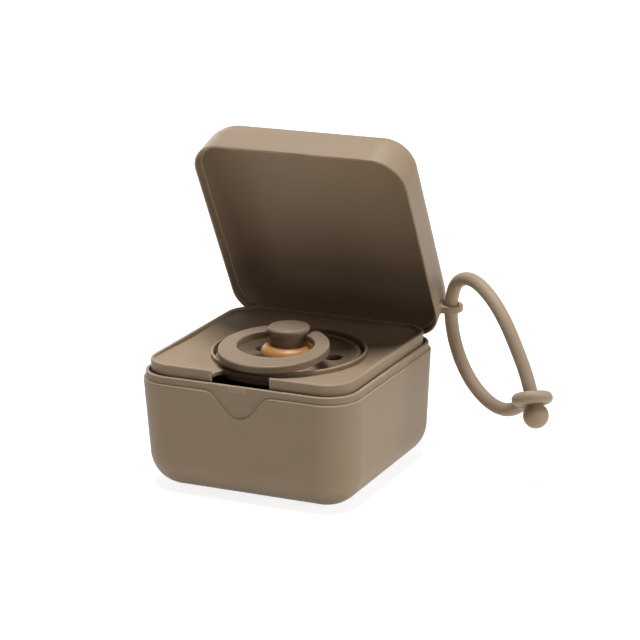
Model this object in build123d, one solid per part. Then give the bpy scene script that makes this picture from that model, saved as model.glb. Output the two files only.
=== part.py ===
from build123d import *
from math import atan2, cos, degrees, pi, radians, sin, tan
import os

# A square travel case for one soother, standing with its lid open.
# Millimetres. Origin: centre of the base's underside. X runs along the front, -Y is the front, +Z is up.

# Case outline, shared by the base and the lid
CASE_SIDE = 75.0
SEAM_CORNER_RADIUS = 11.2
END_CORNER_RADIUS = 12.5
HALF = CASE_SIDE / 2

# Base
BASE_HEIGHT = 36.0
BASE_DRAFT = 2.0
BASE_EDGE_ROUND = 11.5
BASE_FLOOR = 2.2
LEDGE_WIDTH = 0.75
BAND_HEIGHT = 2.4
BAND_WALL = 1.05
RIM_ROUND = 0.3
BAND_HALF = HALF - LEDGE_WIDTH
BAND_TOP = BASE_HEIGHT + BAND_HEIGHT
CAVITY_HALF = BAND_HALF - BAND_WALL
BAND_RADIUS = SEAM_CORNER_RADIUS - LEDGE_WIDTH
CAVITY_RADIUS = BAND_RADIUS - BAND_WALL
CAVITY_END_RADIUS = END_CORNER_RADIUS - LEDGE_WIDTH - BAND_WALL
CAVITY_EDGE_ROUND = BASE_EDGE_ROUND - BASE_FLOOR

# Thumb scallop and catch on the front of the base
SCALLOP_WIDTH = 24.0
SCALLOP_DEPTH = 8.0
SCALLOP_WAIST = 0.52
CATCH_WIDTH = 6.0
CATCH_HEIGHT = 1.3
CATCH_PROUD = 0.4
CATCH_LIFT = 0.6
CATCH_BEVEL = 0.25

# Ribs inside the base that carry the tray
RIB_WIDTH = 1.4
RIB_REACH = 2.0
RIB_SPREAD = 16.0

# Lid, drawn closed and then opened about the hinge
LID_HEIGHT = 18.6
LID_DRAFT = 3.0
LID_EDGE_ROUND = 11.0
LID_TOP_WALL = 1.8
LID_WALL = 1.5
LID_SEAM = 0.15
LID_FIT = 0.12
LID_OPEN = 63.0
LID_RIM = BASE_HEIGHT + LID_SEAM
LID_TOP = LID_RIM + LID_HEIGHT
LID_STEP = BAND_TOP + LID_SEAM
CATCH_POCKET_CLEARANCE = 0.15

# Hinge behind the back wall
HINGE_SETBACK = 1.05
HINGE_DROP = 0.4
HINGE_PIN_RADIUS = 0.75
PIN_CLEARANCE = 0.05
KNUCKLE_RADIUS = 1.6
KNUCKLE_CLEARANCE = 0.2
KNUCKLE_LENGTH = 7.0
KNUCKLE_GAP = 0.3
KNUCKLE_COUNT = 5
KNUCKLE_WEB = 1.7
HINGE_Y = HALF + HINGE_SETBACK
HINGE_Z = BASE_HEIGHT - HINGE_DROP
HINGE_LENGTH = KNUCKLE_COUNT * KNUCKLE_LENGTH + (KNUCKLE_COUNT - 1) * KNUCKLE_GAP

# Eyelet on the lid's right wall, placed from the hinge axis with the lid closed
EYELET_FORWARD = 10.3
EYELET_ABOVE = 6.6
EYELET_OUT = 2.7
EYELET_RADIUS = 4.0
EYELET_THICKNESS = 2.5
EYELET_LEAN = 25.0
EYELET_ROUND = 0.6
EYELET_ROOT_ROUND = 1.2

# Silicone strap: a cord with a ball on one end and a collar on the other
CORD_DIAMETER = 4.4
CORD_CLEARANCE = 0.55
BALL_DIAMETER = 8.2
BALL_NECK = 0.9
COLLAR_RING_RADIUS = 4.55
COLLAR_THICKNESS = 4.0
COLLAR_STUB = 1.0
STRAP_HEADING = -36.0
STRAP_LEAN = 6.0
# Places on the strap, in millimetres along, up and out of its plane from the eyelet's hole
BALL_PLACE = (47.5, -24.1, 0.5)
COLLAR_PLACE = (44.9, -19.3, -0.3)
COLLAR_TURN = 25.0
COLLAR_LEAN = 15.0
TAIL_TURN = 38.0
RUN_FROM_COLLAR = 6.6
RUN_TO_COLLAR = 4.0
# Bends of the cord between those two straight runs
STRAP_BENDS = [
    (38.1, -4.7, -0.5),
    (33.3, 3.9, 0.0),
    (25.3, 10.6, 0.0),
    (15.3, 13.9, 0.0),
    (6.2, 11.2, 0.0),
    (1.0, 4.4, 0.0),
    (-0.9, -5.2, 0.0),
    (1.3, -15.3, 0.0),
    (7.8, -23.5, 0.0),
    (17.4, -28.1, 0.0),
    (27.2, -28.6, -0.1),
]

# Soother: shield, teat, knob and ring handle, on the vertical axis through the origin
SHIELD_RADIUS = 23.4
SHIELD_BEAD_RADIUS = 1.0
SHIELD_THICKNESS = 1.4
SHIELD_FLAT_RADIUS = 15.5
SHIELD_SINK = 2.3
VENT_RADIUS = 3.0
VENT_CIRCLE = 14.3
VENT_COUNT = 3
VENT_START = 30.0
FLANGE_RADIUS = 9.3
FLANGE_HEIGHT = 5.3
FLANGE_TOP_INSET = 2.1
FLANGE_SEAT_INSET = 1.0
FLANGE_BULGE = 0.55
NECK_RADIUS = 5.3
TEAT_LENGTH = 29.1
BULB_RADIUS = 8.4
TEAT_BLEND = 14.0
LATEX_WALL = 1.2
SOFT_CLEARANCE = 0.1
KNOB_RADIUS = 6.8
KNOB_CAP = 1.4
KNOB_FLARE = 1.2
KNOB_NECK_RADIUS = 5.95
KNOB_STEM_LENGTH = 7.0
KNOB_ROUND = 0.9
HANDLE_RADIUS = 17.75
HANDLE_THICKNESS = 2.6
HANDLE_HOLE_LENGTH = 22.0
HANDLE_HOLE_WIDTH = 25.2
HANDLE_HOLE_SHIFT = 1.6
HANDLE_OFFSET = 12.4
HANDLE_TILT = 5.2
HANDLE_TURN = 3.0
HANDLE_TIP_ROUND = 1.6
HANDLE_EDGE_ROUND = 0.5
HANDLE_CLEARANCE = 0.35
PIVOT_RISE = 2.75
STUB_RADIUS = 1.0
STUB_GRIP = 2.6

# Tray that lifts out of the base and holds the soother by its shield
TRAY_GAP = 0.4
TRAY_CORNER_EASE = 0.8
TRAY_PROUD = 3.6
TRAY_SKIRT = 12.0
TRAY_WALL = 1.05
TRAY_FLOOR = 1.2
DISH_EDGE_DROP = 1.3
DISH_FALL = 2.1
CUP_CLEARANCE = 1.0
CUP_WALL = 0.8
CUP_PROUD = 1.75
SEAT_DEPTH = 3.2
SEAT_REACH = 1.3
SEAT_THICKNESS = 1.3
SEAT_CLEARANCE = 0.15
SLOT_WIDTH = 20.4
SLOT_DEPTH = 9.0
SLOT_BRIDGE = 0.9
TRAY_HALF = CAVITY_HALF - TRAY_GAP
TRAY_CORNER_RADIUS = CAVITY_RADIUS - TRAY_GAP + TRAY_CORNER_EASE
CUP_RADIUS = SHIELD_RADIUS + CUP_CLEARANCE + CUP_WALL
TEAT_OPENING_RADIUS = SHIELD_RADIUS - SEAT_REACH

# Heights, from the base's band up through the tray to the soother
TRAY_TOP = BAND_TOP + TRAY_PROUD
TRAY_BOTTOM = TRAY_TOP - TRAY_SKIRT
DISH_EDGE_HEIGHT = TRAY_TOP - DISH_EDGE_DROP
DISH_LOW_HEIGHT = DISH_EDGE_HEIGHT - DISH_FALL
CUP_TOP = DISH_LOW_HEIGHT + CUP_PROUD
SEAT_HEIGHT = CUP_TOP - SEAT_DEPTH
SLOT_SILL = TRAY_TOP - SLOT_DEPTH
SHIELD_HEIGHT = SEAT_HEIGHT + SEAT_CLEARANCE + SHIELD_BEAD_RADIUS
SHIELD_MIDDLE = SHIELD_HEIGHT - SHIELD_SINK
FLANGE_SEAT = SHIELD_MIDDLE + SHIELD_THICKNESS / 2 + SOFT_CLEARANCE
FLANGE_TOP = FLANGE_SEAT + FLANGE_HEIGHT
KNOB_FOOT = FLANGE_TOP + SOFT_CLEARANCE / 2
HANDLE_PIVOT_HEIGHT = KNOB_FOOT + PIVOT_RISE


def drafted_block(half, corners, start, end, draft):
    """A rounded square block that narrows by the draft angle from start to end, with a corner radius for each."""
    narrow = half - abs(end - start) * tan(radians(draft))
    first_corner, last_corner = corners
    first_end = Pos(0, 0, start) * RectangleRounded(2 * half, 2 * half, first_corner)
    last_end = Pos(0, 0, end) * RectangleRounded(2 * narrow, 2 * narrow, last_corner)
    return loft([first_end, last_end], ruled=True)


def straight_block(half, corner, start, end):
    """A rounded square block with upright sides."""
    outline = Pos(0, 0, start) * RectangleRounded(2 * half, 2 * half, corner)
    return extrude(outline, end - start)


def round_end(block, side, radius):
    """Rounds the edges of a block's lowest (side 0) or highest (side -1) face."""
    return fillet(block.faces().sort_by(Axis.Z)[side].edges(), radius)


def knuckle_spans(first):
    """Start and end along X of every second knuckle, beginning with the given one."""
    pitch = KNUCKLE_LENGTH + KNUCKLE_GAP
    starts = [-HINGE_LENGTH / 2 + number * pitch for number in range(first, KNUCKLE_COUNT, 2)]
    return [(start, start + KNUCKLE_LENGTH) for start in starts]


def along_hinge(radius, start, end):
    """A cylinder on the hinge axis."""
    middle = (start + end) / 2
    return Pos(middle, HINGE_Y, HINGE_Z) * Rot(0, 90, 0) * Cylinder(radius, end - start)


def knuckle(start, end, side):
    """One hinge knuckle with the web that joins it to the wall above (side 1) or below (side -1)."""
    wall = BAND_HALF + KNUCKLE_CLEARANCE
    web = Polyline(
        (wall, HINGE_Z + side * (HINGE_DROP + LID_SEAM)),
        (HINGE_Y, HINGE_Z + side * HINGE_DROP),
        (HINGE_Y, HINGE_Z + side * KNUCKLE_RADIUS),
        (wall, HINGE_Z + side * (KNUCKLE_RADIUS + KNUCKLE_WEB)),
        close=True,
    )
    profile = Plane((start, 0, 0), x_dir=(0, 1, 0), z_dir=(1, 0, 0)) * make_face(web)
    return along_hinge(KNUCKLE_RADIUS, start, end) + extrude(profile, end - start)


def hinge_bore():
    """The hole through the whole row of knuckles."""
    reach = HINGE_LENGTH / 2 + 1
    return along_hinge(HINGE_PIN_RADIUS + PIN_CLEARANCE, -reach, reach)


def knuckle_relief(first):
    """Round clearance for the other half's knuckles."""
    cuts = [
        along_hinge(KNUCKLE_RADIUS + KNUCKLE_CLEARANCE, start - KNUCKLE_GAP, end + KNUCKLE_GAP)
        for start, end in knuckle_spans(first)
    ]
    return Compound(children=cuts)


def open_lid(shape):
    """Turns a piece drawn on the closed lid to the open position."""
    hinge = Axis((0, HINGE_Y, HINGE_Z), (-1, 0, 0))
    return shape.rotate(hinge, LID_OPEN)


def scallop():
    """The bell-shaped thumb recess, cut back to the band's face."""
    side = SCALLOP_WIDTH / 2
    waist = SCALLOP_WAIST * side
    low = BASE_HEIGHT - SCALLOP_DEPTH
    middle = BASE_HEIGHT - SCALLOP_DEPTH * SCALLOP_WAIST
    bell = Spline(
        (-side, BASE_HEIGHT),
        (-waist, middle),
        (0, low),
        (waist, middle),
        (side, BASE_HEIGHT),
        tangents=((1, 0), (1, 0)),
    )
    lid_line = Polyline((side, BASE_HEIGHT), (side, BAND_TOP), (-side, BAND_TOP), (-side, BASE_HEIGHT))
    outline = Plane((0, -BAND_HALF, 0), x_dir=(1, 0, 0), z_dir=(0, -1, 0)) * make_face(bell + lid_line)
    return extrude(outline, 2 * LEDGE_WIDTH)


def round_rim(block):
    """Rounds the rim and, in one line with it, the scallop's outer edge."""
    lowest = BASE_HEIGHT - SCALLOP_DEPTH - RIM_ROUND
    high = [edge for edge in block.edges() if edge.bounding_box().min.Z > lowest]
    off_band = [edge for edge in high if abs((edge @ 0.5).Y + BAND_HALF) > LEDGE_WIDTH / 10]
    return fillet([edge for edge in off_band if edge.length > 2 * LEDGE_WIDTH], RIM_ROUND)


def catch(clearance):
    """The bevelled catch on the band; with a clearance, the pocket that it clips into."""
    low = BASE_HEIGHT + CATCH_LIFT - clearance
    height = CATCH_HEIGHT + 2 * clearance
    proud = CATCH_PROUD + clearance / 2
    depth = proud + BAND_WALL / 2
    block = Box(CATCH_WIDTH + 2 * clearance, depth, height)
    front_edges = block.faces().sort_by(Axis.Y)[0].edges().filter_by(Axis.X)
    block = chamfer(front_edges, CATCH_BEVEL)
    return Pos(0, -BAND_HALF - proud + depth / 2, low + height / 2) * block


def tray_ribs():
    """Eight upright ribs on the base's inner walls, flush under the tray's skirt."""
    skirt_half = TRAY_HALF - TRAY_SKIRT * tan(radians(BASE_DRAFT))
    inner_face = skirt_half - RIB_REACH
    height = TRAY_BOTTOM - BASE_FLOOR
    rib = Box(RIB_WIDTH, BAND_HALF - inner_face, height)
    rib = Pos(0, (BAND_HALF + inner_face) / 2, BASE_FLOOR + height / 2) * rib
    ribs = [
        Rot(0, 0, turn) * Pos(place, 0, 0) * rib
        for turn in range(0, 360, 90)
        for place in (-RIB_SPREAD, RIB_SPREAD)
    ]
    return ribs


def make_base():
    """Base shell: rounded box, seam band, scallop, catch, tray ribs and three hinge knuckles."""
    outer = drafted_block(HALF, (SEAM_CORNER_RADIUS, END_CORNER_RADIUS), BASE_HEIGHT, 0, BASE_DRAFT)
    outer = round_end(outer, 0, BASE_EDGE_ROUND)
    outer = round_rim(outer - scallop())
    band = straight_block(BAND_HALF, BAND_RADIUS, BASE_HEIGHT - BAND_HEIGHT, BAND_TOP)
    band = round_end(band, -1, RIM_ROUND)
    cavity = drafted_block(CAVITY_HALF, (CAVITY_RADIUS, CAVITY_END_RADIUS), BAND_TOP, BASE_FLOOR, BASE_DRAFT)
    cavity = round_end(cavity, 0, CAVITY_EDGE_ROUND)
    shell = outer + band - cavity
    for rib in tray_ribs():
        shell += rib & outer
    shell += catch(0)
    for start, end in knuckle_spans(0):
        shell += knuckle(start, end, -1)
    return shell - knuckle_relief(1) - hinge_bore()


def eyelet_centre():
    """Middle of the eyelet's hole, with the lid closed."""
    height = HINGE_Z + EYELET_ABOVE
    wall = HALF - (height - LID_RIM) * tan(radians(LID_DRAFT))
    return (wall + EYELET_OUT, HINGE_Y - EYELET_FORWARD, height)


def eyelet():
    """The ring beside the lid that the strap passes through, and its bore."""
    lean = radians(EYELET_LEAN)
    face = Plane(eyelet_centre(), x_dir=(1, 0, 0), z_dir=(0, -cos(lean), sin(lean)))
    root = EYELET_OUT + LID_WALL
    outline = Circle(EYELET_RADIUS) + Pos(-root / 2, 0) * Rectangle(root, 2 * EYELET_RADIUS)
    ring = face * extrude(outline, EYELET_THICKNESS / 2, both=True)
    ring = fillet(ring.edges().sort_by(Axis.X)[1:], EYELET_ROUND)
    hole = face * Cylinder(CORD_DIAMETER / 2 + CORD_CLEARANCE, 2 * EYELET_THICKNESS)
    return ring, hole


def make_lid():
    """Lid shell, drawn closed: hollow cap with a rebate over the band, two knuckles and the eyelet."""
    outer = drafted_block(HALF, (SEAM_CORNER_RADIUS, END_CORNER_RADIUS), LID_RIM, LID_TOP, LID_DRAFT)
    outer = round_end(outer, -1, LID_EDGE_ROUND)
    outer = round_end(outer, 0, RIM_ROUND)
    rebate = straight_block(BAND_HALF + LID_FIT, BAND_RADIUS + LID_FIT, LID_RIM, LID_STEP)
    inner_corners = (SEAM_CORNER_RADIUS - LID_WALL, END_CORNER_RADIUS - LID_WALL)
    inside = drafted_block(HALF - LID_WALL, inner_corners, LID_RIM, LID_TOP - LID_TOP_WALL, LID_DRAFT)
    inside = round_end(inside, -1, LID_EDGE_ROUND - LID_TOP_WALL)
    ring, hole = eyelet()
    shell = outer + ring
    shell = fillet(new_edges(outer, ring, combined=shell), EYELET_ROOT_ROUND)
    shell = shell - hole - rebate - inside - catch(CATCH_POCKET_CLEARANCE)
    for start, end in knuckle_spans(1):
        shell += knuckle(start, end, 1)
    return open_lid(shell - knuckle_relief(0) - hinge_bore())


def make_hinge_pin():
    """Steel pin through all five knuckles."""
    return along_hinge(HINGE_PIN_RADIUS, -HINGE_LENGTH / 2, HINGE_LENGTH / 2)


def dish_plate():
    """The tray's dished floor: low around the cup, rising and levelling out towards the lip."""
    inner = CUP_RADIUS - CUP_WALL / 2
    reach = 2 * TRAY_HALF ** 2
    outer = reach ** 0.5
    crest = DISH_EDGE_HEIGHT + RIM_ROUND
    top = ThreePointArc((inner, 0, DISH_LOW_HEIGHT), (TRAY_HALF, 0, DISH_EDGE_HEIGHT), (outer, 0, crest))
    low = Pos(0, 0, -TRAY_FLOOR) * top
    sides = Line(top @ 0, low @ 0) + Line(top @ 1, low @ 1)
    return revolve(make_face(top + low + sides), Axis.Z)


def tray_cup():
    """The round wall and seat that the shield drops into, open below for the teat."""
    inner = CUP_RADIUS - CUP_WALL
    low = SEAT_HEIGHT - SEAT_THICKNESS
    outline = Polyline(
        (CUP_RADIUS, 0, low),
        (CUP_RADIUS, 0, CUP_TOP),
        (inner, 0, CUP_TOP),
        (inner, 0, SEAT_HEIGHT),
        (TEAT_OPENING_RADIUS, 0, SEAT_HEIGHT),
        (TEAT_OPENING_RADIUS, 0, low),
        close=True,
    )
    cup = revolve(make_face(outline), Axis.Z)
    return fillet(cup.faces().sort_by(Axis.Z)[-1].edges(), 0.45 * CUP_WALL)


def make_tray():
    """Lift-out tray: skirt, lip, dished floor, cup and the finger slot at the front."""
    corner = TRAY_CORNER_RADIUS
    outer = drafted_block(TRAY_HALF, (corner, corner), TRAY_TOP, TRAY_BOTTOM, BASE_DRAFT)
    outer = round_end(outer, -1, RIM_ROUND)
    corner -= TRAY_WALL
    inner = drafted_block(TRAY_HALF - TRAY_WALL, (corner, corner), TRAY_TOP, TRAY_BOTTOM, BASE_DRAFT)
    tray = outer - inner
    tray += dish_plate() & outer
    tray += tray_cup()
    slot = Box(SLOT_WIDTH, CASE_SIDE, TRAY_TOP, align=(Align.CENTER, Align.MAX, Align.MIN))
    return tray - Pos(0, -CUP_RADIUS - SLOT_BRIDGE, SLOT_SILL) * slot


def make_shield():
    """Round shield: a dish with a flat middle and a beaded edge, a neck hole and vent holes."""
    bead = SHIELD_RADIUS - SHIELD_BEAD_RADIUS
    rise = SHIELD_THICKNESS / 2
    floor = SHIELD_MIDDLE + rise
    flat = Line((NECK_RADIUS + SOFT_CLEARANCE, 0, floor), (SHIELD_FLAT_RADIUS, 0, floor))
    top = flat + TangentArc(flat @ 1, (bead, 0, SHIELD_HEIGHT + rise), tangent=(1, 0, 0))
    low = Pos(0, 0, -SHIELD_THICKNESS) * top
    sides = Line(top @ 0, low @ 0) + Line(top @ 1, low @ 1)
    shield = revolve(make_face(top + low + sides), Axis.Z)
    shield += Pos(0, 0, SHIELD_HEIGHT) * Torus(bead, SHIELD_BEAD_RADIUS)
    for number in range(VENT_COUNT):
        turn = VENT_START + number * 360 / VENT_COUNT
        vent = Cylinder(VENT_RADIUS, 4 * SHIELD_THICKNESS)
        shield -= Rot(0, 0, turn) * Pos(VENT_CIRCLE, 0, SHIELD_MIDDLE) * vent
    return shield


def teat_body(inset):
    """The teat's space from the flange's top down, moved in by an inset: neck, hollow blend and round bulb."""
    centre = SEAT_HEIGHT - TEAT_LENGTH + BULB_RADIUS
    blend_out = NECK_RADIUS + TEAT_BLEND
    blend_up = ((BULB_RADIUS + TEAT_BLEND) ** 2 - blend_out ** 2) ** 0.5
    slope = degrees(atan2(blend_up, blend_out))
    side = NECK_RADIUS - inset
    bulb = BULB_RADIUS - inset
    outline = CenterArc((blend_out, centre + blend_up), TEAT_BLEND + inset, 180, slope)
    outline += CenterArc((0, centre), bulb, slope, -90 - slope)
    outline += Polyline((0, centre - bulb), (0, FLANGE_TOP), (side, FLANGE_TOP), (side, centre + blend_up))
    return revolve(Plane.XZ * make_face(outline), Axis.Z)


def make_teat():
    """Hollow latex teat: flange above the shield, neck through it and bulb below."""
    rim = ThreePointArc(
        (FLANGE_RADIUS - FLANGE_TOP_INSET, 0, FLANGE_TOP),
        (FLANGE_RADIUS, 0, FLANGE_SEAT + FLANGE_BULGE * FLANGE_HEIGHT),
        (FLANGE_RADIUS - FLANGE_SEAT_INSET, 0, FLANGE_SEAT),
    )
    inside = Polyline(rim @ 1, (0, 0, FLANGE_SEAT), (0, 0, FLANGE_TOP), rim @ 0)
    flange = revolve(make_face(rim + inside), Axis.Z)
    return flange + teat_body(0) - teat_body(LATEX_WALL)


def make_knob():
    """Knob: round cap, neck with two side bores for the handle, and the stem that plugs the teat."""
    stem = NECK_RADIUS - LATEX_WALL - SOFT_CLEARANCE
    flare = HANDLE_PIVOT_HEIGHT + STUB_RADIUS / 2
    top = flare + KNOB_FLARE + KNOB_CAP
    outline = Polyline(
        (0, 0, top),
        (KNOB_RADIUS, 0, top),
        (KNOB_RADIUS, 0, flare + KNOB_FLARE),
        (KNOB_NECK_RADIUS, 0, flare),
        (KNOB_NECK_RADIUS, 0, KNOB_FOOT),
        (stem, 0, KNOB_FOOT),
        (stem, 0, KNOB_FOOT - KNOB_STEM_LENGTH),
        (0, 0, KNOB_FOOT - KNOB_STEM_LENGTH),
        close=True,
    )
    knob = revolve(make_face(outline), Axis.Z)
    knob = fillet(knob.faces().sort_by(Axis.Z)[-1].edges(), KNOB_ROUND)
    bore_end = KNOB_NECK_RADIUS - STUB_GRIP - SOFT_CLEARANCE
    bore = Rot(0, 90, 0) * Cylinder(STUB_RADIUS + PIN_CLEARANCE, KNOB_RADIUS - bore_end)
    for side in (-1, 1):
        place = Pos(side * (KNOB_RADIUS + bore_end) / 2, 0, HANDLE_PIVOT_HEIGHT)
        knob -= Rot(0, 0, HANDLE_TURN) * place * bore
    return knob


def make_handle():
    """Flat ring handle with a gap for the knob and a stub on each end, lying towards the front."""
    gap = KNOB_RADIUS + HANDLE_CLEARANCE
    ring = Pos(0, -HANDLE_OFFSET) * Circle(HANDLE_RADIUS)
    ring -= Pos(0, HANDLE_HOLE_SHIFT - HANDLE_OFFSET) * Ellipse(HANDLE_HOLE_WIDTH / 2, HANDLE_HOLE_LENGTH / 2)
    ring -= Rectangle(2 * gap, HANDLE_RADIUS)
    tips = ring.vertices().sort_by(Axis.Y)[-2:]
    ring = fillet(tips, HANDLE_TIP_ROUND)
    band = extrude(ring, HANDLE_THICKNESS / 2, both=True)
    for side in (0, -1):
        band = fillet(band.faces().sort_by(Axis.Z)[side].edges(), HANDLE_EDGE_ROUND)
    stub_end = gap + STUB_GRIP / 2
    stub_start = KNOB_NECK_RADIUS - STUB_GRIP
    stub = Rot(0, 90, 0) * Cylinder(STUB_RADIUS, stub_end - stub_start)
    for side in (-1, 1):
        band += Pos(side * (stub_end + stub_start) / 2, 0, 0) * stub
    return Pos(0, 0, HANDLE_PIVOT_HEIGHT) * Rot(0, 0, HANDLE_TURN) * Rot(HANDLE_TILT, 0, 0) * band


def strap_plane():
    """The plane that the strap hangs in: origin at the eyelet's hole, X along, Y up."""
    x, y, z = eyelet_centre()
    back, up, angle = y - HINGE_Y, z - HINGE_Z, radians(LID_OPEN)
    hole = (
        x,
        HINGE_Y + back * cos(angle) + up * sin(angle),
        HINGE_Z - back * sin(angle) + up * cos(angle),
    )
    heading, lean = radians(STRAP_HEADING), radians(STRAP_LEAN)
    facing = (sin(heading) * cos(lean), -cos(heading) * cos(lean), -sin(lean))
    return Plane(hole, x_dir=(cos(heading), sin(heading), 0), z_dir=facing)


def collar_axis():
    """The way through the collar, in the strap's plane."""
    turn, lean = radians(COLLAR_TURN), radians(COLLAR_LEAN)
    return Vector(-sin(turn) * cos(lean), cos(turn) * cos(lean), -sin(lean))


def to_collar():
    """The way of the cord's last run, up into the collar's wall."""
    turn = radians(TAIL_TURN)
    return Vector(cos(turn), sin(turn), 0)


def from_ball():
    """The way of the cord's first run, from the ball through the collar."""
    return (Vector(*COLLAR_PLACE) - Vector(*BALL_PLACE)).normalized()


def neck_end():
    """Where the cord leaves the ball, in the strap's plane."""
    return Vector(*BALL_PLACE) + from_ball() * (BALL_DIAMETER / 2 + BALL_NECK)


def wall_middle():
    """The middle of the collar's wall on the side that the cord's end joins."""
    turn = radians(COLLAR_TURN)
    return Vector(*COLLAR_PLACE) - Vector(cos(turn), sin(turn), 0) * COLLAR_RING_RADIUS


def stub_end():
    """Where the cord meets the collar's stub, in the strap's plane."""
    return wall_middle() - to_collar() * (COLLAR_THICKNESS / 2 + COLLAR_STUB)


def rod(start, end):
    """A round rod of the cord's thickness between two points."""
    axis = Plane(start, z_dir=end - start)
    return Solid.make_cylinder(CORD_DIAMETER / 2, (end - start).length, axis)


def cord_radii(points):
    """Bend radius at each inner point: as large as its two runs allow."""
    runs = [after - before for before, after in zip(points, points[1:])]
    radii = []
    for before, after in zip(runs, runs[1:]):
        half_turn = radians(before.get_angle(after)) / 2
        radii.append(0.45 * min(before.length, after.length) / tan(half_turn))
    return radii


def make_strap_cord():
    """The strap's round cord, from the ball's neck through the collar and the eyelet to the collar's stub."""
    first_bend = Vector(*COLLAR_PLACE) + from_ball() * RUN_FROM_COLLAR
    last_bend = stub_end() - to_collar() * RUN_TO_COLLAR
    bends = [first_bend] + [Vector(*bend) for bend in STRAP_BENDS] + [last_bend]
    points = [strap_plane().from_local_coords(point) for point in [neck_end()] + bends + [stub_end()]]
    radii = cord_radii(points)
    path = FilletPolyline(*points, radius=radii)
    section = Plane(path @ 0, z_dir=path % 0) * Circle(CORD_DIAMETER / 2)
    cord = sweep(section, path)
    expected = pi * (CORD_DIAMETER / 2) ** 2 * path.length
    print("cord length", round(path.length, 1), "radii", [round(radius, 1) for radius in radii])
    print("cord volume over section times length", round(cord.volume / expected, 4))
    return cord


def make_strap_ball():
    """The ball that stops the cord in the collar, with a short neck."""
    ball = Pos(*BALL_PLACE) * Sphere(BALL_DIAMETER / 2)
    return strap_plane() * (ball + rod(Vector(*BALL_PLACE), neck_end()))


def make_strap_collar():
    """The collar that the cord passes through, with the stub that the cord's other end meets."""
    ring = Plane(COLLAR_PLACE, z_dir=collar_axis()) * Torus(COLLAR_RING_RADIUS, COLLAR_THICKNESS / 2)
    return strap_plane() * (ring + rod(wall_middle(), stub_end()))


PIECES = {
    "base_shell": make_base,
    "lid_shell": make_lid,
    "hinge_pin": make_hinge_pin,
    "insert_tray": make_tray,
    "soother_shield": make_shield,
    "soother_teat": make_teat,
    "soother_knob": make_knob,
    "soother_handle": make_handle,
    "strap_cord": make_strap_cord,
    "strap_ball": make_strap_ball,
    "strap_collar": make_strap_collar,
}

os.makedirs("parts", exist_ok=True)
for name, make in PIECES.items():
    export_step(make(), f"parts/{name}.step")
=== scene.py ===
from math import atan2, cos, degrees, pi, radians, sin

import bmesh
import bpy
from mathutils import Matrix, Vector


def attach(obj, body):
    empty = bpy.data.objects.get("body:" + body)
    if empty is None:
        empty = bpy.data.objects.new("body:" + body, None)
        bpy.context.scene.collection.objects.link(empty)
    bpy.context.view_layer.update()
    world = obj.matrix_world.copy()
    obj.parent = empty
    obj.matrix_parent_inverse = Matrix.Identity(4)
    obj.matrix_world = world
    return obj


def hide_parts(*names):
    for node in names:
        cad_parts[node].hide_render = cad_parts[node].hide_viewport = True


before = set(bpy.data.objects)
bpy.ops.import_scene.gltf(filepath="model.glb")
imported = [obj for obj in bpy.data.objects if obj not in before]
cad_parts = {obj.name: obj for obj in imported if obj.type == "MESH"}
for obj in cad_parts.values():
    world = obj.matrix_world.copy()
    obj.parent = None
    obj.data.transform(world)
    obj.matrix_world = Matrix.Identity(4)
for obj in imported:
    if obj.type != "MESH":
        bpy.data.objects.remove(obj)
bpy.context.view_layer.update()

# A square travel case for one soother, standing with its lid open.
# Metres, in the frame of the solids: origin in the middle of the base's underside, -Y the front, +Z up.

# Camera, at the photograph's place and angle: degrees, with the lens and the sensor in millimetres
CAMERA_PLACE = (0.33313, -0.68028, 0.27695)
CAMERA_AZIMUTH = 25.33
CAMERA_ELEVATION = 16.70
CAMERA_ROLL = -0.85
CAMERA_LENS = 138.77
CAMERA_SENSOR = 36.0
CAMERA_NEAREST = 0.01

# Silicone strap: a round cord with a ball on one end and a collar on the other
CORD_DIAMETER = 0.0044
BALL_RADIUS = 0.0041
BALL_NECK = 0.0009
COLLAR_RING_RADIUS = 0.00455
COLLAR_THICKNESS = 0.0040
COLLAR_STUB = 0.0010
EYELET_HOLE = (0.039883, 0.039755, 0.047774)
STRAP_HEADING = -36.0
STRAP_LEAN = 6.0
# Where the ball's round leaves off, in degrees, and its blend into the neck:
# radius past the cord's own, and height over the ball's middle
BALL_ROUND_END = 48.0
BALL_BLEND = [(0.00035, 0.00345), (0.00008, 0.00395), (0.0, 0.0045)]
# Places on the strap: along, up and out of its plane from the eyelet's hole
BALL_PLACE = Vector((0.0475, -0.0241, 0.0005))
COLLAR_PLACE = Vector((0.0449, -0.0193, -0.0003))
COLLAR_TURN = 25.0
COLLAR_LEAN = 15.0
TAIL_TURN = 38.0
RUN_FROM_COLLAR = 0.0066
RUN_TO_COLLAR = 0.0040
STRAP_BENDS = [
    (0.0381, -0.0047, -0.0005),
    (0.0333, 0.0039, 0.0),
    (0.0253, 0.0106, 0.0),
    (0.0153, 0.0139, 0.0),
    (0.0062, 0.0112, 0.0),
    (0.0010, 0.0044, 0.0),
    (-0.0009, -0.0052, 0.0),
    (0.0013, -0.0153, 0.0),
    (0.0078, -0.0235, 0.0),
    (0.0174, -0.0281, 0.0),
    (0.0272, -0.0286, -0.0001),
]

# Latex teat, on the vertical axis through the origin
FLANGE_TOP = 0.0421
FLANGE_RADIUS = 0.0093
FLANGE_SEAT = 0.0368
TEAT_NECK_RADIUS = 0.0053
TEAT_BLEND = 0.0140
TEAT_TIP = 0.00805
BULB_RADIUS = 0.0084
LATEX_WALL = 0.0012
# The flange's outline: how far inside its radius, and how far down it, as a share of its height
FLANGE_OUTLINE = [
    (0.0026, 0.0),
    (0.0020, 0.03),
    (0.0012, 0.13),
    (0.0004, 0.29),
    (0.0001, 0.45),
    (0.0002, 0.65),
    (0.0006, 0.85),
    (0.0012, 1.0),
]

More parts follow.
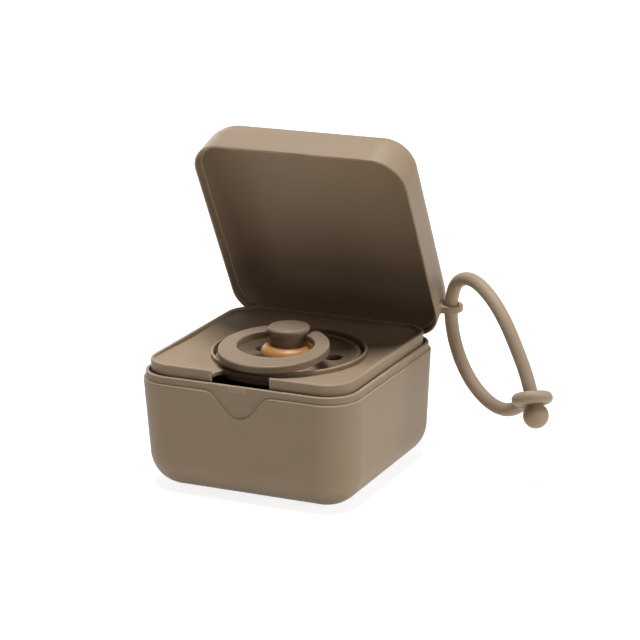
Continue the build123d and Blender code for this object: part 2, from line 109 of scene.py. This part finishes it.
# How finely the round pieces are cut
TURN_STEPS = 96
BALL_STEPS = 40
NECK_STEPS = 24
SECTION_SIDES = 32
STUB_SIDES = 48
MERGE_DISTANCE = 1e-6

# Base colours, in linear light
TAUPE = (0.325, 0.242, 0.166, 1)
TAUPE_DEEP = (0.282, 0.206, 0.138, 1)
# Painted highlight: the lighter colour laid along the case's edges
TAUPE_EDGE_HIGHLIGHT = (0.540, 0.425, 0.315, 1)
SOOTHER_TAUPE = (0.262, 0.195, 0.134, 1)
SOOTHER_DEEP = (0.222, 0.163, 0.110, 1)
# Painted highlight: the lighter colour laid along the soother's edges
SOOTHER_EDGE_HIGHLIGHT = (0.430, 0.340, 0.250, 1)
SILICONE = (0.365, 0.274, 0.190, 1)
SILICONE_DEEP = (0.318, 0.234, 0.158, 1)
LATEX = (0.560, 0.285, 0.095, 1)
LATEX_DEEP = (0.520, 0.215, 0.055, 1)
STEEL = (0.62, 0.61, 0.59, 1)
STEEL_DEEP = (0.42, 0.41, 0.40, 1)

# Grain of each finish, and the painted highlight along its edges
TAUPE_GRAIN = {
    "Colour": TAUPE, "Deep Colour": TAUPE_DEEP, "Grain Scale": 4200.0, "Cloud Scale": 45.0,
    "Cloud Amount": 0.35, "Roughness": 0.46, "Roughness Spread": 0.10}
SOOTHER_GRAIN = {
    "Colour": SOOTHER_TAUPE, "Deep Colour": SOOTHER_DEEP, "Grain Scale": 5200.0, "Cloud Scale": 80.0,
    "Cloud Amount": 0.30, "Roughness": 0.46, "Roughness Spread": 0.08}
SILICONE_GRAIN = {
    "Colour": SILICONE, "Deep Colour": SILICONE_DEEP, "Grain Scale": 3000.0, "Cloud Scale": 90.0,
    "Cloud Amount": 0.35, "Roughness": 0.52, "Roughness Spread": 0.12}
LATEX_GRAIN = {
    "Colour": LATEX, "Deep Colour": LATEX_DEEP, "Grain Scale": 900.0, "Cloud Scale": 110.0,
    "Cloud Amount": 0.8, "Roughness": 0.34, "Roughness Spread": 0.08}
STEEL_GRAIN = {
    "Colour": STEEL, "Deep Colour": STEEL_DEEP, "Grain Scale": 2600.0, "Cloud Scale": 300.0,
    "Cloud Amount": 0.5, "Roughness": 0.24, "Roughness Spread": 0.12}
# Painted edge highlight: its colour, its roughness, and how wide and strong it is
TAUPE_EDGES = {
    "Painted Highlight Colour": TAUPE_EDGE_HIGHLIGHT, "Edge Roughness": 0.38, "Edge Width": 0.0005, "Edge Amount": 0.8}
# The lid's wall is thin beside the catch's pocket, so the painted highlight on its edges is narrower and
# left out there
LID_EDGES = {**TAUPE_EDGES, "Edge Width": 0.0004, "Plain Half Width": 0.0042}
# The soother's painted edge highlight
SOOTHER_EDGES = {
    "Painted Highlight Colour": SOOTHER_EDGE_HIGHLIGHT, "Edge Roughness": 0.36, "Edge Width": 0.0004, "Edge Amount": 0.6}

# How much solid lies behind a point: 1 on a broad face, about 0.5 on a sharp edge, less on a thin wall.
# Edges get a painted highlight between these levels, and a plain middle fades out over a short way.
EDGE_STARTS, EDGE_FULL = 0.88, 0.55
THIN_FULL, THIN_ENDS = 0.30, 0.48
PLAIN_FADE = 0.0005

# Floor: what it throws back at the case, what the camera sees of it, and the glow that lifts this to white
FLOOR_REACH = 3.0
FLOOR_BOUNCE = (0.82, 0.78, 0.71, 1)
FLOOR_SEEN = (0.40, 0.40, 0.40, 1)
FLOOR_GLOW = 0.86

# Light from all round, and soft boxes: name, way from the case, distance, side and watts
WORLD_LIGHT = 0.03
LAMP_TARGET = Vector((0, 0, 0.04))
SOFT_BOXES = [
    ("overhead soft box", (0.0, 0.04, 1.0), 1.2, 0.45, 18.0),
    ("right soft box", (1.0, 0.0, 0.25), 1.2, 0.6, 5.2),
    ("front soft box", (0.0, -1.0, 0.25), 1.2, 0.6, 0.3),
    ("rear soft box", (-0.8, 0.7, 0.35), 1.3, 0.6, 4.0),
]


def place_camera():
    """The camera, looking as the photograph does."""
    azimuth, elevation, roll = map(radians, (CAMERA_AZIMUTH, CAMERA_ELEVATION, CAMERA_ROLL))
    level_right = Vector((cos(azimuth), sin(azimuth), 0))
    back = Vector((sin(azimuth) * cos(elevation), -cos(azimuth) * cos(elevation), sin(elevation)))
    level_up = back.cross(level_right)
    right = level_right * cos(roll) + level_up * sin(roll)
    up = level_up * cos(roll) - level_right * sin(roll)
    camera = bpy.data.objects.new("camera", bpy.data.cameras.new("camera"))
    camera.data.lens = CAMERA_LENS
    camera.data.sensor_width = CAMERA_SENSOR
    camera.data.clip_start = CAMERA_NEAREST
    turn = Matrix((right, up, back)).transposed().to_4x4()
    camera.matrix_world = Matrix.Translation(CAMERA_PLACE) @ turn
    bpy.context.collection.objects.link(camera)
    bpy.context.scene.camera = camera


def strap_frame():
    """Turns places on the strap's plane into places in the model."""
    heading, lean = radians(STRAP_HEADING), radians(STRAP_LEAN)
    along = Vector((cos(heading), sin(heading), 0))
    out = Vector((sin(heading) * cos(lean), -cos(heading) * cos(lean), -sin(lean)))
    up = out.cross(along)
    return Matrix.Translation(EYELET_HOLE) @ Matrix((along, up, out)).transposed().to_4x4()


def plane_way(angle):
    """A way on the strap's plane, from its angle in degrees."""
    return Vector((cos(radians(angle)), sin(radians(angle)), 0))


def to_collar():
    """The way of the cord's last run, up into the collar's wall."""
    return plane_way(TAIL_TURN)


def from_ball():
    """The way of the cord's first run, from the ball through the collar."""
    return (COLLAR_PLACE - BALL_PLACE).normalized()


def wall_middle():
    """The middle of the collar's wall on the side that the cord's end joins."""
    return COLLAR_PLACE - plane_way(COLLAR_TURN) * COLLAR_RING_RADIUS


def stub_end():
    """Where the cord meets the collar's stub, on the strap's plane."""
    return wall_middle() - to_collar() * (COLLAR_THICKNESS / 2 + COLLAR_STUB)


def cord_route():
    """The cord's points in the model, from the ball's neck to the collar's stub."""
    start = BALL_PLACE + from_ball() * (BALL_RADIUS + BALL_NECK)
    first_bend = COLLAR_PLACE + from_ball() * RUN_FROM_COLLAR
    last_bend = stub_end() - to_collar() * RUN_TO_COLLAR
    bends = [Vector(bend) for bend in STRAP_BENDS]
    return [strap_frame() @ point for point in [start, first_bend] + bends + [last_bend, stub_end()]]


def stood_up(way):
    """The turn that stands a piece's Z along a way."""
    return Vector((0, 0, 1)).rotation_difference(way).to_matrix().to_4x4()


def add_object(name, data, material):
    """A new object with one material."""
    piece = bpy.data.objects.new(name, data)
    bpy.context.collection.objects.link(piece)
    data.materials.append(material)
    return piece


def add_smooth_piece(name, shape, material):
    """A new object from a closed mesh, with its faces outward and smooth."""
    bmesh.ops.recalc_face_normals(shape, faces=shape.faces)
    for face in shape.faces:
        face.smooth = True
    mesh = bpy.data.meshes.new(name)
    shape.to_mesh(mesh)
    shape.free()
    return add_object(name, mesh, material)


def spin_about_z(shape, corners, sides):
    """Turns an outline once round the Z axis and joins its ends."""
    bmesh.ops.spin(
        shape, geom=corners + sides, cent=(0, 0, 0), axis=(0, 0, 1), angle=2 * pi,
        steps=TURN_STEPS, use_duplicate=False)
    bmesh.ops.remove_doubles(shape, verts=shape.verts, dist=MERGE_DISTANCE)


def arc(centre, radius, start, end, steps):
    """Points on a round stretch of an outline, from one angle in degrees to another."""
    angles = [radians(start + (end - start) * step / steps) for step in range(steps + 1)]
    return [(centre[0] + radius * cos(angle), centre[1] + radius * sin(angle)) for angle in angles]


def turned(name, outline, material):
    """A piece turned about the Z axis from an outline of radius and height. An end on the axis closes."""
    shape = bmesh.new()
    corners = [shape.verts.new((radius, 0, height)) for radius, height in outline]
    sides = [shape.edges.new(pair) for pair in zip(corners, corners[1:])]
    spin_about_z(shape, corners, sides)
    return add_smooth_piece(name, shape, material)


def make_strap_cord(material):
    """The strap's cord: one smooth spline with the route's points as its control points."""
    curve = bpy.data.curves.new("silicone_cord", "CURVE")
    curve.dimensions = "3D"
    curve.bevel_depth = CORD_DIAMETER / 2
    curve.bevel_resolution = 8
    curve.resolution_u = 16
    curve.use_fill_caps = True
    points = cord_route()
    spline = curve.splines.new("NURBS")
    spline.points.add(len(points) - 1)
    for knot, point in zip(spline.points, points):
        knot.co = (*point, 1)
    spline.order_u = 3
    spline.use_endpoint_u = True
    return add_object("silicone_cord", curve, material)


def make_strap_ball(material):
    """The ball with the short hollow-sided neck that the cord grows from."""
    neck = CORD_DIAMETER / 2
    top = BALL_RADIUS + BALL_NECK
    outline = arc((0, 0), BALL_RADIUS, -90, BALL_ROUND_END, BALL_STEPS)
    outline += [(neck + past, height) for past, height in BALL_BLEND] + [(neck, top), (0, top)]
    ball = turned("strap_end_ball", outline, material)
    ball.data.transform(strap_frame() @ Matrix.Translation(BALL_PLACE) @ stood_up(from_ball()))
    return ball


def make_strap_collar(material):
    """The collar: a thick ring whose wall flows into the cord's end."""
    wall = COLLAR_THICKNESS / 2
    turn, lean = radians(COLLAR_TURN), radians(COLLAR_LEAN)
    axis = Vector((-sin(turn) * cos(lean), cos(turn) * cos(lean), -sin(lean)))
    shape = bmesh.new()
    angles = [2 * pi * side / SECTION_SIDES for side in range(SECTION_SIDES)]
    section = [
        shape.verts.new((COLLAR_RING_RADIUS + wall * cos(angle), 0, wall * sin(angle)))
        for angle in angles
    ]
    loop = [shape.edges.new(pair) for pair in zip(section, section[1:] + section[:1])]
    spin_about_z(shape, section, loop)
    shape.transform(strap_frame() @ Matrix.Translation(COLLAR_PLACE) @ stood_up(axis))
    start = strap_frame() @ wall_middle()
    end = strap_frame() @ stub_end()
    stub = end - start
    bmesh.ops.create_cone(
        shape, cap_ends=True, segments=STUB_SIDES, radius1=CORD_DIAMETER / 2, radius2=CORD_DIAMETER / 2,
        depth=stub.length, matrix=Matrix.Translation((start + end) / 2) @ stood_up(stub))
    return add_smooth_piece("strap_end_collar", shape, material)


def make_teat(material):
    """The latex teat: flange above the shield, neck through it and round bulb below, with its inner wall."""
    centre = TEAT_TIP + BULB_RADIUS
    blend_out = TEAT_NECK_RADIUS + TEAT_BLEND
    blend_up = ((BULB_RADIUS + TEAT_BLEND) ** 2 - blend_out ** 2) ** 0.5
    slope = degrees(atan2(blend_up, blend_out))

    def wall(inset):
        hollow = arc((blend_out, centre + blend_up), TEAT_BLEND + inset, 180, 180 + slope, NECK_STEPS)
        bulb = arc((0, centre), BULB_RADIUS - inset, slope, -90, BALL_STEPS)
        return hollow + bulb[1:]

    mouth = (TEAT_NECK_RADIUS - LATEX_WALL, FLANGE_TOP)
    rise = FLANGE_TOP - FLANGE_SEAT
    flange = [(FLANGE_RADIUS - inset, FLANGE_TOP - down * rise) for inset, down in FLANGE_OUTLINE]
    outside = flange + [(TEAT_NECK_RADIUS, FLANGE_SEAT)] + wall(0)
    inside = wall(LATEX_WALL)[::-1]
    return turned("latex_teat", [mouth] + outside + inside + [mouth], material)


def add_node(tree, kind, inputs=None, **settings):
    """A new shader node with its settings. Each of its inputs is linked to a socket or set to a value."""
    node = tree.nodes.new(kind)
    for setting, value in settings.items():
        setattr(node, setting, value)
    set_inputs(tree, node.inputs, inputs or {})
    return node


def set_inputs(tree, sockets, inputs):
    """Links the named or numbered sockets to others, or sets them to values."""
    for label, value in inputs.items():
        if isinstance(value, bpy.types.NodeSocket):
            tree.links.new(value, sockets[label])
        else:
            sockets[label].default_value = value


def maths(tree, operation, *values):
    """The result of a maths node on sockets or numbers."""
    return add_node(tree, "ShaderNodeMath", dict(enumerate(values)), operation=operation).outputs[0]


def mixed(tree, kind, share, first, second):
    """The result of mixing two colours or two numbers."""
    inputs = {"Factor": share, "A": first, "B": second}
    return add_node(tree, "ShaderNodeMix", inputs, data_type=kind).outputs["Result"]


def ramp(tree, value, start, end):
    """A value turned into 0 at the start and 1 at the end, and held there beyond them."""
    inputs = {"Value": value, "From Min": start, "From Max": end}
    return add_node(tree, "ShaderNodeMapRange", inputs).outputs["Result"]


def new_group(name, inputs, outputs):
    """An empty shader group, with the sockets that its inputs give and that its outputs take."""
    group = bpy.data.node_groups.new(name, "ShaderNodeTree")
    for label, kind, value in inputs:
        socket = group.interface.new_socket(label, in_out="INPUT", socket_type=kind)
        socket.default_value = value
    for label, kind in outputs:
        group.interface.new_socket(label, in_out="OUTPUT", socket_type=kind)
    return group, group.nodes.new("NodeGroupInput").outputs, group.nodes.new("NodeGroupOutput").inputs


def mould_grain_group():
    """The fine texture that a spark-eroded mould leaves: slight clouds of colour, satin gloss and grain."""
    group, given, result = new_group(
        "mould grain",
        [
            ("Colour", "NodeSocketColor", (0.5, 0.5, 0.5, 1)),
            ("Deep Colour", "NodeSocketColor", (0.4, 0.4, 0.4, 1)),
            ("Grain Scale", "NodeSocketFloat", 5000.0),
            ("Cloud Scale", "NodeSocketFloat", 60.0),
            ("Cloud Amount", "NodeSocketFloat", 0.2),
            ("Roughness", "NodeSocketFloat", 0.45),
            ("Roughness Spread", "NodeSocketFloat", 0.08),
        ],
        [("Colour", "NodeSocketColor"), ("Roughness", "NodeSocketFloat"), ("Height", "NodeSocketFloat")],
    )

    where = add_node(group, "ShaderNodeTexCoord").outputs["Object"]

    def noise(scale, detail):
        inputs = {"Vector": where, "Scale": scale, "Detail": detail}
        return add_node(group, "ShaderNodeTexNoise", inputs).outputs["Fac"]

    grain = noise(given["Grain Scale"], 3)
    cloud = noise(given["Cloud Scale"], 4)
    share = maths(group, "MULTIPLY", cloud, given["Cloud Amount"])
    set_inputs(group, result, {
        "Colour": mixed(group, "RGBA", share, given["Colour"], given["Deep Colour"]),
        "Roughness": maths(group, "MULTIPLY_ADD", grain, given["Roughness Spread"], given["Roughness"]),
        "Height": grain,
    })
    return group


def painted_edge_highlight_group():
    """Painted highlight: a moulded edge is coloured lighter and made glossier, and it keeps the tiny round
    that every edge has.

    A plain half width keeps the middle of a piece, along X, free of the painted highlight."""
    group, given, result = new_group(
        "painted edge highlights",
        [
            ("Colour", "NodeSocketColor", (0.5, 0.5, 0.5, 1)),
            ("Painted Highlight Colour", "NodeSocketColor", (0.6, 0.6, 0.6, 1)),
            ("Roughness", "NodeSocketFloat", 0.5),
            ("Edge Roughness", "NodeSocketFloat", 0.35),
            ("Edge Width", "NodeSocketFloat", 0.0005),
            ("Edge Amount", "NodeSocketFloat", 0.8),
            ("Plain Half Width", "NodeSocketFloat", -0.001),
        ],
        [("Colour", "NodeSocketColor"), ("Roughness", "NodeSocketFloat"), ("Normal", "NodeSocketVector")],
    )
    soft_edge = add_node(group, "ShaderNodeBevel", {"Radius": given["Edge Width"]}, samples=6)
    solid_behind = add_node(
        group, "ShaderNodeAmbientOcclusion", {"Distance": given["Edge Width"]},
        inside=True, only_local=True, samples=8).outputs["AO"]
    near_edge = ramp(group, solid_behind, EDGE_STARTS, EDGE_FULL)
    not_thin = ramp(group, solid_behind, THIN_FULL, THIN_ENDS)
    where = add_node(group, "ShaderNodeTexCoord").outputs["Object"]
    across = add_node(group, "ShaderNodeSeparateXYZ", {0: where}).outputs["X"]
    past_plain = maths(group, "SUBTRACT", maths(group, "ABSOLUTE", across), given["Plain Half Width"])
    # Painted highlight: this mask lightens the colour along edges
    edge = maths(group, "MULTIPLY", near_edge, not_thin)
    highlighted = maths(group, "MULTIPLY", edge, ramp(group, past_plain, 0.0, PLAIN_FADE))
    share = maths(group, "MULTIPLY", highlighted, given["Edge Amount"])
    set_inputs(group, result, {
        "Colour": mixed(group, "RGBA", share, given["Colour"], given["Painted Highlight Colour"]),
        "Roughness": mixed(group, "FLOAT", share, given["Roughness"], given["Edge Roughness"]),
        "Normal": soft_edge.outputs["Normal"],
    })
    return group


def finish_material(name, grain_values, bump_strength, bump_distance, shader_values, edge_values=None):
    """A material with the mould's grain, and with painted edge highlights where it has edge values."""
    material = bpy.data.materials.new(name)
    material.use_nodes = True
    tree = material.node_tree
    finish = add_node(tree, "ShaderNodeGroup", node_tree=mould_grain)
    set_inputs(tree, finish.inputs, grain_values)
    bump = add_node(
        tree, "ShaderNodeBump",
        {"Strength": bump_strength, "Distance": bump_distance, "Height": finish.outputs["Height"]})
    surface = finish
    if edge_values:
        surface = add_node(tree, "ShaderNodeGroup", node_tree=painted_edge_highlights)
        set_inputs(tree, surface.inputs, {
            **edge_values, "Colour": finish.outputs["Colour"], "Roughness": finish.outputs["Roughness"]})
        set_inputs(tree, bump.inputs, {"Normal": surface.outputs["Normal"]})
    set_inputs(tree, tree.nodes["Principled BSDF"].inputs, {
        "Base Color": surface.outputs["Colour"], "Roughness": surface.outputs["Roughness"],
        "Normal": bump.outputs["Normal"], **shader_values})
    return material


def show_floor():
    """A plain pale floor that meets the white behind it, and keeps the object's shadow."""
    mesh = bpy.data.meshes.new("floor")
    shape = bmesh.new()
    bmesh.ops.create_grid(shape, x_segments=1, y_segments=1, size=FLOOR_REACH)
    shape.to_mesh(mesh)
    shape.free()
    material = bpy.data.materials.new("pale floor")
    material.use_nodes = True
    tree = material.node_tree
    rays = add_node(tree, "ShaderNodeLightPath").outputs
    seen = maths(tree, "MAXIMUM", rays["Is Camera Ray"], rays["Is Glossy Ray"])
    seen = maths(tree, "MAXIMUM", seen, rays["Is Transmission Ray"])
    set_inputs(tree, tree.nodes["Principled BSDF"].inputs, {
        "Roughness": 0.9,
        "Specular IOR Level": 0.0,
        "Base Color": mixed(tree, "RGBA", seen, FLOOR_BOUNCE, FLOOR_SEEN),
        "Emission Color": (1, 1, 1, 1),
        "Emission Strength": maths(tree, "MULTIPLY", seen, FLOOR_GLOW),
    })
    add_object("floor", mesh, material)


def show_world():
    """Plain soft light from all round, seen as white by the camera."""
    world = bpy.data.worlds.new("studio")
    bpy.context.scene.world = world
    world.use_nodes = True
    tree = world.node_tree
    rays = add_node(tree, "ShaderNodeLightPath").outputs
    seen = maths(tree, "MAXIMUM", rays["Is Camera Ray"], rays["Is Transmission Ray"])
    level = add_node(tree, "ShaderNodeMapRange", {"Value": seen, "To Min": WORLD_LIGHT, "To Max": 1.0})
    set_inputs(tree, tree.nodes["Background"].inputs, {
        "Color": (1, 1, 1, 1), "Strength": level.outputs["Result"]})


def show_soft_box(name, way, distance, side, watts):
    """A square soft box that shines on the case from a direction."""
    lamp = bpy.data.lights.new(name, "AREA")
    lamp.size = side
    lamp.energy = watts
    holder = bpy.data.objects.new(name, lamp)
    away = Vector(way).normalized()
    facing = away.to_track_quat("Z", "Y").to_matrix().to_4x4()
    holder.matrix_world = Matrix.Translation(LAMP_TARGET + away * distance) @ facing
    bpy.context.collection.objects.link(holder)


place_camera()

mould_grain = mould_grain_group()
painted_edge_highlights = painted_edge_highlight_group()
# The plastics below carry painted highlights along their edges
taupe_plastic = finish_material(
    "taupe moulded plastic", TAUPE_GRAIN, bump_strength=0.30, bump_distance=0.00002,
    shader_values={"Specular IOR Level": 0.30}, edge_values=TAUPE_EDGES)
lid_plastic = finish_material(
    "taupe lid plastic", TAUPE_GRAIN, bump_strength=0.30, bump_distance=0.00002,
    shader_values={"Specular IOR Level": 0.30}, edge_values=LID_EDGES)
soother_plastic = finish_material(
    "soother plastic", SOOTHER_GRAIN, bump_strength=0.25, bump_distance=0.00002,
    shader_values={"Specular IOR Level": 0.35}, edge_values=SOOTHER_EDGES)
silicone = finish_material(
    "matt silicone", SILICONE_GRAIN, bump_strength=0.25, bump_distance=0.00002,
    shader_values={"Specular IOR Level": 0.30, "Sheen Weight": 0.08, "Sheen Roughness": 0.5})
latex = finish_material(
    "amber latex", LATEX_GRAIN, bump_strength=0.10, bump_distance=0.00002,
    shader_values={
        "Subsurface Weight": 0.5, "Subsurface Radius": (1.0, 0.45, 0.15), "Subsurface Scale": 0.002})
steel = finish_material(
    "drawn steel", STEEL_GRAIN, bump_strength=0.20, bump_distance=0.00001, shader_values={"Metallic": 1.0})

cord = make_strap_cord(silicone)
ball = make_strap_ball(silicone)
collar = make_strap_collar(silicone)
for piece, node in ((cord, "strap_cord"), (ball, "strap_ball"), (collar, "strap_collar")):
    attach(piece, "strap")
    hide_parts(node)

teat = make_teat(latex)
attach(teat, "soother")
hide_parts("soother_teat")

FINISHES = {
    "base_shell": taupe_plastic,
    "lid_shell": lid_plastic,
    "insert_tray": taupe_plastic,
    "hinge_pin": steel,
    "soother_shield": soother_plastic,
    "soother_knob": soother_plastic,
    "soother_handle": soother_plastic,
}
for node, finish in FINISHES.items():
    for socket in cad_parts[node].material_slots:
        socket.material = finish

show_floor()
show_world()
for soft_box in SOFT_BOXES:
    show_soft_box(*soft_box)

bpy.context.scene.view_settings.view_transform = "Standard"
